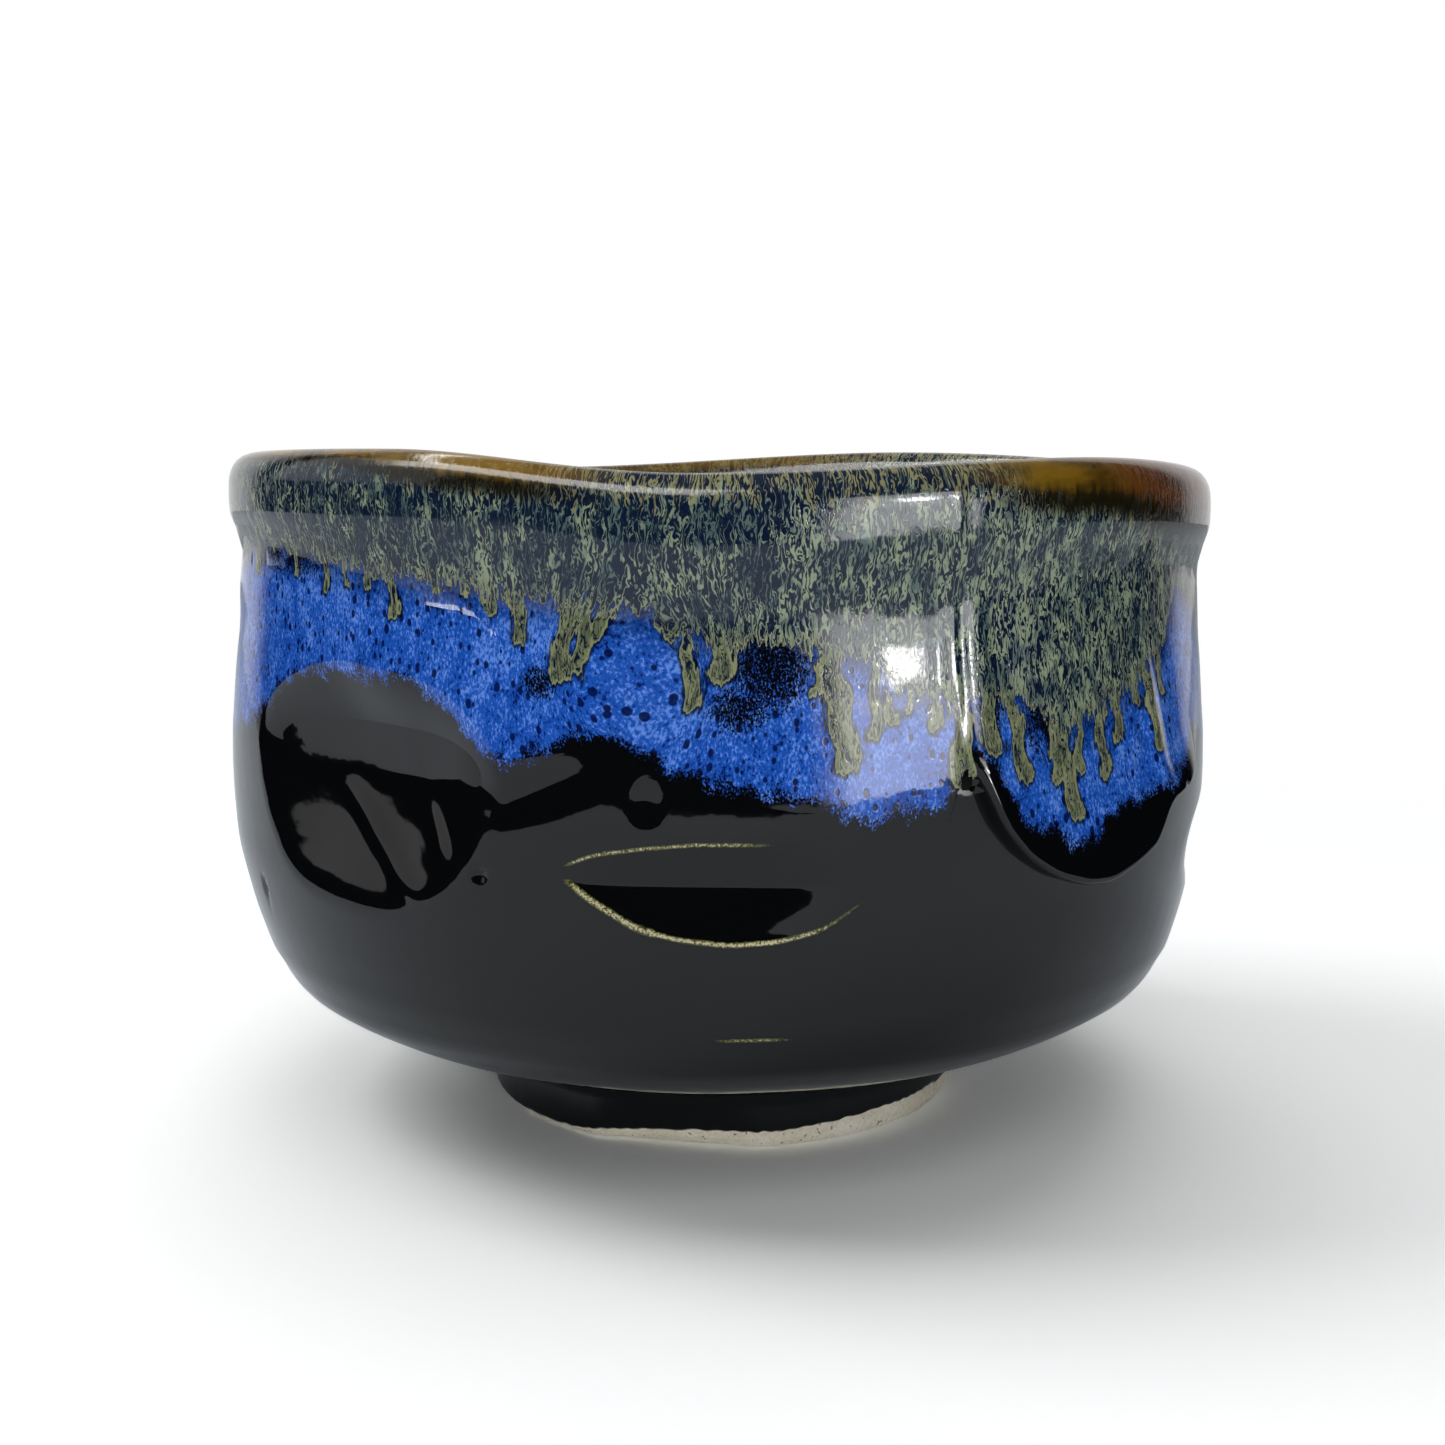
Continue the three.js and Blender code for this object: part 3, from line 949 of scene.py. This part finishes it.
def stoneware(name):
    """Bare cream clay: fine grain, soft clouding and small dark specks; its turning lines are shaped in
    the meshes.
    """
    make = Recipe(name)
    where = make.node("ShaderNodeTexCoord", {}).outputs["Object"]
    grain = make.noise(where, 2600, 3.0, 0.6)
    cloud = make.noise(where, 160, 3.0, 0.5)
    specks = make.noise(where, 1500, 1.0, 0.5)
    colour = make.mix(make.step(cloud, 0.35, 0.65), srgb(240, 231, 208), CREAM)
    colour = make.mix(make.step(grain, 0.3, 0.6, 0.25, 0.0), colour, srgb(170, 156, 126))
    colour = make.mix(make.step(specks, 0.68, 0.74, 0.0, 0.7), colour, srgb(120, 98, 70))
    normal = make.bump(grain, 0.00012, 0.8)
    return make.finish(Base_Color=colour, Roughness=0.85, Normal=normal, IOR=1.45)


# ---------------------------------------------------------------- pieces


def columns_of(count):
    return np.arange(count) * 360.0 / count


def rows_between(low, high, rows):
    """Runs of a grid of rows between two ragged lines."""
    return low[None, :] + (high - low)[None, :] * np.linspace(0, 1, rows)[:, None]


def coat(name, material, parts, lift, inner_lift, inner_rows):
    """A glaze coat: its outer face in parts of [low, high, rows], and a coarser inner face."""
    angles = columns_of(COLUMNS)
    grids = [rows_between(*part) for part in parts]
    run = np.concatenate([grids[0]] + [grid[1:] for grid in grids[1:]])
    angle = np.broadcast_to(angles, run.shape)
    back = np.linspace(run[-1], run[0], inner_rows)
    back_angle = np.broadcast_to(angles, back.shape)
    outer = skin_points(run, angle, lift(run, angle))
    inner = skin_points(back, back_angle, inner_lift(back, back_angle))
    points = np.concatenate([outer, inner])
    every_run = np.concatenate([run, back])
    every_angle = np.concatenate([angle, back_angle])
    return shell(name, points, glaze_fields(every_run, every_angle), material)


def body_glaze():
    level = np.zeros(COLUMNS)
    parts = [
        [level + 0.3, level + run_at(30.0), 28],
        [level + run_at(30.0), level + run_at(45.0), 50],
        [level + run_at(45.0), level + run_at(58.0), 20],
        [level + run_at(58.0), level + run_at(72.0), 5],
        [level + run_at(72.0), level + run_at(70.0, False), 8],
    ]
    return coat(
        "Body_Glaze",
        glaze("black glaze"),
        parts,
        lambda run, angle: 0 * run,
        lambda run, angle: 0 * run + THICK_BACK,
        14,
    )


def blue_overglaze():
    angles = columns_of(COLUMNS)
    level = np.zeros(COLUMNS)
    inside_edge = wave_at(BLUE_EDGE, (angles + BLUE_TURN) % 360) - 6.0
    low = run_at(edge_of_blue_piece(angles))
    near = low + 2.5
    parts = [
        [low, near, 12],
        [near, level + run_at(69.0), 58],
        [level + run_at(69.0), level + run_at(64.0, False), 8],
        [level + run_at(64.0, False), run_at(inside_edge, False), 22],
    ]

    def lift(run, angle):
        height = height_at(run)
        inside = HEM + 0.25 * smoothstep(height - inside_edge[None, :], 0, 8)
        return np.where(run < LIP_RUN, blue_lift(angle, height), inside)

    return coat(
        "Blue_Overglaze",
        glaze("blue glaze"),
        parts,
        lift,
        lambda run, angle: 0 * run + THIN_BACK,
        14,
    )


def ash_envelope(angles):
    """Lower edge of the ash coat's mesh, a little below the lowest drip nearby."""
    edge = wave_at(ASH_BAND, angles) - 1.5
    for tip_angle, tip, *_ in ALL_DRIPS:
        away = np.abs(turn_from(angles, tip_angle))
        edge = np.minimum(edge, tip - 0.8 + 1.1 * np.maximum(away - 2.5, 0))
    return edge


def ash_overglaze():
    angles = columns_of(COLUMNS)
    level = np.zeros(COLUMNS)
    low = run_at(ash_envelope(angles))
    inside_edge = ash_envelope((angles + ASH_TURN) % 360) - ASH_DEEPER
    parts = [
        [low, level + run_at(74.0), 64],
        [level + run_at(74.0), level + run_at(74.0, False), 20],
        [level + run_at(74.0, False), run_at(inside_edge, False), 24],
    ]

    def lift(run, angle):
        height = height_at(run)
        outside = run < LIP_RUN
        there = np.where(outside, angle, (angle + ASH_TURN) % 360)
        reach = ash_reach(there, np.where(outside, height, height + ASH_DEEPER))
        from_edge = height - np.where(outside, height_at(low)[None, :], inside_edge[None, :])
        under = np.where(outside, blue_lift(angle, height), 0.23)
        thin = HEM + 0.04 * smoothstep(from_edge, 0, 3)
        return under + thin + 0.02 * smoothstep(reach, -0.8, 1.4)

    def inner_lift(run, angle):
        height = height_at(run)
        return np.where(run < LIP_RUN, blue_lift(angle, height), 0.23) + THIN_BACK

    return coat("Ash_Overglaze", glaze("ash glaze"), parts, lift, inner_lift, 14)


def liner_glaze():
    level = np.zeros(COLUMNS)
    parts = [
        [level + run_at(70.5, False), level + run_at(20.0, False), 40],
        [level + run_at(20.0, False), level + END_RUN - 0.4, 40],
    ]
    return coat(
        "Liner_Glaze",
        glaze("liner glaze"),
        parts,
        lambda run, angle: 0 * run,
        lambda run, angle: 0 * run + THICK_BACK,
        12,
    )


def clay_body():
    """The clay under the glaze; it shows only in the recess inside the foot ring."""
    angles = columns_of(COLUMNS // 4)
    run = np.linspace(0.0, END_RUN - 0.4, 90)[:, None] + 0 * angles[None, :]
    angle = np.broadcast_to(angles, run.shape)
    wall = skin_points(run, angle, 0 * run + CLAY_FACE)
    reach = np.linspace(0.4, 30.4, 60)[:, None] + 0 * angles[None, :]
    spiral = np.sin(2 * math.pi * (reach / 2.6) + np.radians(angles)[None, :])
    spiral = spiral * smoothstep(reach, 1.0, 4.0) * (1 - smoothstep(reach, 19.5, 21.5))
    knob = 0.5 * np.exp(-((reach / 1.8) ** 2))
    dome = 1.0 * (1 - smoothstep(reach, 4.0, 21.5))
    under_angle = np.broadcast_to(angles, reach.shape)
    under = place(reach, under_angle, FOOT_HEIGHT + dome + 0.14 * spiral - knob)
    points = np.concatenate([under, wall])
    return shell("Clay_Body", points, {}, stoneware("stoneware"), closed=False, cap=True)


def foot_radius(height, angle):
    heights = [0, FOOT["bevel"], FOOT["waist_height"], FOOT_HEIGHT]
    radius = np.interp(height, heights, [FOOT["edge"], FOOT["side"], FOOT["waist"], FOOT["top"]])
    facing = np.cos(np.radians(turn_from(angle, FOOT_FLAT["angle"])))
    flat = FOOT["side"] - FOOT_FLAT["distance"] / np.maximum(facing, 0.1)
    return radius - np.clip(flat, 0, None) * (1 - height / FOOT_HEIGHT)


def foot_ring():
    """The bare foot: softened bevels, a knife-cut flat and a slightly rough edge."""
    angles = columns_of(COLUMNS // 2)
    top = FOOT_HEIGHT - 0.05
    sides = [0.12, 0.3, 0.6, 0.9, 1.2, 1.6, 2.2, 3.0, 4.0, 5.2, 6.5, 7.6, top]
    turn = np.radians(angles)
    ripple = 0.05 * np.sin(17 * turn) + 0.04 * np.sin(29 * turn + 1) + 0.03 * np.sin(53 * turn)
    rows = []
    for height in sides:
        radius = foot_radius(height, angles) + ripple * (height < 2)
        rows.append(place(radius, angles, height, FOOT_SHIFT))
    for height in [top, 6.0, 3.5, 1.6, 0.9, 0.4, 0.12]:
        inner = np.interp(height, [0, FOOT["bevel"]], [FOOT["inner_edge"], FOOT["inner"]])
        radius = inner + 0 * angles
        rows.append(place(radius, angles, height, FOOT_SHIFT))
    outer_edge = foot_radius(0.0, angles)
    for share in np.linspace(0.04, 0.96, 14):
        radius = FOOT["inner_edge"] + (outer_edge - FOOT["inner_edge"]) * share
        groove = 0.05 * (1 + np.sin(share * 40 + 2 * turn))
        rows.append(place(radius, angles, groove, FOOT_SHIFT))
    return shell("Foot_Ring", np.stack(rows), {}, stoneware("foot stoneware"))


def foot_glaze():
    """Black coat on the foot's side, with a chipped, wavering lower edge."""
    angles = columns_of(COLUMNS)
    turn = np.radians(angles)
    edge = wave_at(FOOT_GLAZE_EDGE, angles)
    edge = edge + 0.10 * np.sin(13 * turn) * np.sin(7 * turn + 2)
    chip = np.sin(31 * turn + 3 * np.sin(5 * turn)) * np.sin(11 * turn + 1)
    edge = edge + 0.22 * np.clip(chip - 0.35, 0, 1) + 0.05 * np.sin(83 * turn + 4 * np.sin(9 * turn))
    share = np.linspace(0, 1, 30)[:, None]
    height = edge[None, :] + (8.5 - edge)[None, :] * share
    angle = np.broadcast_to(angles, height.shape)
    above = height - edge[None, :]
    swell = np.sqrt(np.clip(1 - (1 - np.minimum(above / 0.5, 1)) ** 2, 0, 1))
    outer = place(foot_radius(height, angle) + 0.06 + 0.4 * swell, angle, height, FOOT_SHIFT)
    back = height[::-1][::4]
    inner = place(
        foot_radius(back, angle[: len(back)]) - 0.05, angle[: len(back)], back, FOOT_SHIFT
    )
    points = np.concatenate([outer, inner])
    every = np.concatenate([height, back])
    every_angle = np.broadcast_to(angles, every.shape)
    none = 0 * every
    far = 40.0  # this coat is nothing but black, so every other glaze's edge is far off
    fields = {
        "flow": flow_field(every_angle, every),
        "ash": none - far,
        "blue": none - far,
        "lip": none + far,
        "fall": none + far,
        **{field: none for field in ("brown", "rust", "rich", "dark")},
        **carved_edges(every_angle, every, 0.0),
    }
    return shell("Foot_Glaze", points, fields, glaze("foot black glaze"))


def build():
    made = [
        (clay_body(), "clay_body", "stoneware"),
        (foot_ring(), "foot_ring", "foot_stoneware"),
        (body_glaze(), "body_glaze", "black_glaze"),
        (foot_glaze(), "foot_glaze", "foot_black_glaze"),
        (liner_glaze(), "liner_glaze", "liner_glaze"),
        (blue_overglaze(), "blue_overglaze", "blue_glaze"),
        (ash_overglaze(), "ash_overglaze", "ash_glaze"),
    ]
    for piece, node, slot in made:
        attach(piece, "root")
        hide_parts(node)


# ---------------------------------------------------------------- studio

EYE = Vector((0.0003, -0.250, 0.0834))
EYE_PITCH = 8.49
LENS = 49.45
TABLE_FRONT = -0.40
TABLE_SIDE = 0.46
TABLE_BACK = 0.9
TABLE_LIT = (0.76, 0.81, 0.86, 1)
TABLE_SHOWN = (1.40, 1.42, 1.42, 1)
TABLE_FADE = (0.13, 0.28)
WHITE = (1, 1, 1, 1)


def camera():
    data = bpy.data.cameras.new("camera")
    data.lens = LENS
    data.sensor_width = 36
    data.clip_start = 0.01
    made = bpy.data.objects.new("camera", data)
    made.location = EYE
    made.rotation_euler = Euler((math.radians(90 - EYE_PITCH), 0, 0))
    bpy.context.scene.collection.objects.link(made)
    bpy.context.scene.camera = made


def table():
    """A white sheet, shown brighter than it lights the bowl and fading to pure white."""
    mesh = bpy.data.meshes.new("table")
    corners = [
        (-TABLE_SIDE, TABLE_FRONT, 0),
        (TABLE_SIDE, TABLE_FRONT, 0),
        (TABLE_SIDE, TABLE_BACK, 0),
        (-TABLE_SIDE, TABLE_BACK, 0),
    ]
    mesh.from_pydata(corners, [], [(0, 1, 2, 3)])
    make = Recipe("white table")
    seen = make.node("ShaderNodeLightPath", {}).outputs["Is Camera Ray"]
    colour = make.mix(seen, TABLE_LIT, TABLE_SHOWN)
    near = make.node("ShaderNodeBsdfDiffuse", {"Color": colour}).outputs[0]
    away = make.node("ShaderNodeEmission", {"Color": WHITE}).outputs[0]
    where = make.node("ShaderNodeTexCoord", {}).outputs["Object"]
    reach = make.node("ShaderNodeVectorMath", {0: where}, operation="LENGTH").outputs["Value"]
    share = make.math("MULTIPLY", make.step(reach, *TABLE_FADE), seen)
    shader = make.node("ShaderNodeMixShader", {0: share, 1: near, 2: away})
    make.tree.links.new(shader.outputs[0], make.output.inputs[0])
    mesh.materials.append(make.material)
    made = bpy.data.objects.new("Table", mesh)
    bpy.context.scene.collection.objects.link(made)


def panel(name, azimuth, elevation, distance, size, radiance, seen_in, soft=(0.0, 0.0)):
    """A rectangular light of a given radiance, seen only in gloss or only by matt surfaces."""
    data = bpy.data.lights.new(name, "AREA")
    data.shape = "RECTANGLE"
    data.size, data.size_y = size
    data.energy = radiance * math.pi * size[0] * size[1]
    made = bpy.data.objects.new(name, data)
    made.location = around(azimuth, elevation, distance)
    facing = Vector((0, 0, 0.05)) - made.location
    made.rotation_euler = facing.to_track_quat("-Z", "Y").to_euler()
    made.visible_camera = False
    made.visible_glossy = seen_in == "gloss"
    made.visible_diffuse = seen_in == "matt"
    bpy.context.scene.collection.objects.link(made)
    if max(soft) > 0:
        soften(data, soft)


def soften(data, soft):
    """Fade a panel's brightness towards its edges, over a share of its width and height."""
    make = Nodes(data)
    place_on = make.node("ShaderNodeNewGeometry", {}).outputs["Parametric"]
    sides = make.node("ShaderNodeSeparateXYZ", {0: place_on}).outputs
    strength = 1.0
    for side, share in zip(sides, soft):
        off_middle = make.math("ABSOLUTE", make.math("SUBTRACT", side, 0.5))
        fade = make.step(off_middle, 0.5 - max(share, 0.001) / 2, 0.5, 1.0, 0.0)
        strength = make.math("MULTIPLY", fade, strength)
    make.feed(make.tree.nodes["Emission"].inputs["Strength"], strength)


def around(azimuth, elevation, distance):
    """A place at an azimuth from the front (+ to the right) and an elevation, degrees."""
    turn, up = math.radians(azimuth), math.radians(elevation)
    return (
        distance * math.cos(up) * math.sin(turn),
        -distance * math.cos(up) * math.cos(turn),
        0.06 + distance * math.sin(up),
    )


def lights():
    """Name, azimuth, elevation, distance, size, radiance, what sees it, share of soft edge."""
    panel("left key", -100, 46, 0.9, (0.5, 0.5), 4.4, "matt")
    panel("overhead", 150, 80, 0.9, (0.7, 0.7), 1.6, "matt")
    panel("front fill", 12, 42, 0.9, (0.6, 0.5), 1.2, "matt")
    panel("low fill", 2, 6, 0.8, (0.8, 0.16), 6.2, "matt")
    panel("right haze", 38, -2, 0.62, (0.44, 0.165), 6.4, "gloss", (0.45, 0.0))
    panel("right glow", 37, 11, 0.66, (0.38, 0.18), 6.0, "gloss", (0.5, 0.5))
    panel("window", 40, 9, 0.60, (0.10, 0.05), 40.0, "gloss", (0.4, 0.4))
    panel("left haze", -88, 25, 0.62, (0.64, 0.45), 0.65, "gloss", (0.1, 0.05))
    panel("rim light", -118, 56, 0.9, (1.1, 0.07), 10.0, "gloss", (0.5, 0.3))
    panel("top glow", -45, 50, 0.9, (1.4, 0.35), 7.0, "gloss", (0.4, 0.4))


def room():
    """White behind the bowl, a dark room in front, and a pale ceiling."""
    world = bpy.data.worlds.new("room")
    bpy.context.scene.world = world
    make = Nodes(world)
    make.tree.nodes.clear()
    where = make.node("ShaderNodeTexCoord", {}).outputs["Generated"]
    sides = make.node("ShaderNodeSeparateXYZ", {0: where}).outputs
    behind = make.step(sides[1], 0.58, 0.74, 0.0, 0.85)
    ceiling = make.step(sides[2], 0.45, 0.95, 0.0, 0.15)
    seen = make.node("ShaderNodeLightPath", {}).outputs["Is Camera Ray"]
    strength = make.math("MAXIMUM", seen, make.math("MAXIMUM", behind, ceiling))
    background = make.node("ShaderNodeBackground", {"Color": WHITE, "Strength": strength})
    output = make.node("ShaderNodeOutputWorld", {})
    make.feed(output.inputs[0], background.outputs[0])


build()
camera()
table()
lights()
room()
bpy.context.scene.view_settings.view_transform = "Standard"
